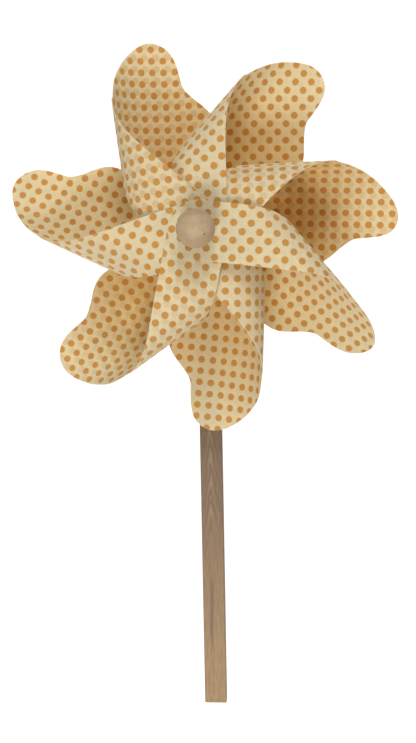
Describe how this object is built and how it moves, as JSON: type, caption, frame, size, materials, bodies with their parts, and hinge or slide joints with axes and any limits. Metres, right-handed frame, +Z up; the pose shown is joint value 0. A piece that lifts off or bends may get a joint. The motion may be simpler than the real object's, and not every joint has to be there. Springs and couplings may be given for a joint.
{
  "type": "pinwheel",
  "caption": "Toy pinwheel on a flat wooden stick: curled, dotted card blades spin on a steel axle behind a wooden ball.",
  "frame": {"origin": "centre of the stick's bottom end face", "axes": "+Z up along the stick, -Y towards the viewer who sees the wooden ball, axle along Y"},
  "size_m": [0.2158, 0.0979, 0.3809],
  "materials": {
    "brown_wood": "unvarnished, straight grained",
    "pale_wood": "sanded smooth, fine speckle",
    "card": "matt printed card, cream with orange-brown dots",
    "steel": "plain drawn wire",
    "white_plastic": "moulded, plain"
  },
  "bodies": {
    "handle": {"stick": "brown_wood", "axle": "steel", "hub_ball": "pale_wood", "rear_cap": "steel"},
    "wheel": {"front_washer": "white_plastic", "spacer_sleeve": "white_plastic", "rear_washer": "white_plastic", "blade_1": "card", "blade_2": "card", "blade_3": "card", "blade_4": "card", "blade_5": "card", "blade_6": "card", "blade_7": "card"},
    "bead": {"spacer_bead": "pale_wood"}
  },
  "joints": [
    {"name": "wheel_spin", "type": "hinge", "parent": "handle", "child": "wheel", "pos_m": [0, -0.0679, 0.274], "axis": [0, -1, 0], "continuous": true},
    {"name": "bead_spin", "type": "hinge", "parent": "handle", "child": "bead", "pos_m": [0, -0.0073, 0.274], "axis": [0, -1, 0], "continuous": true}
  ]
}
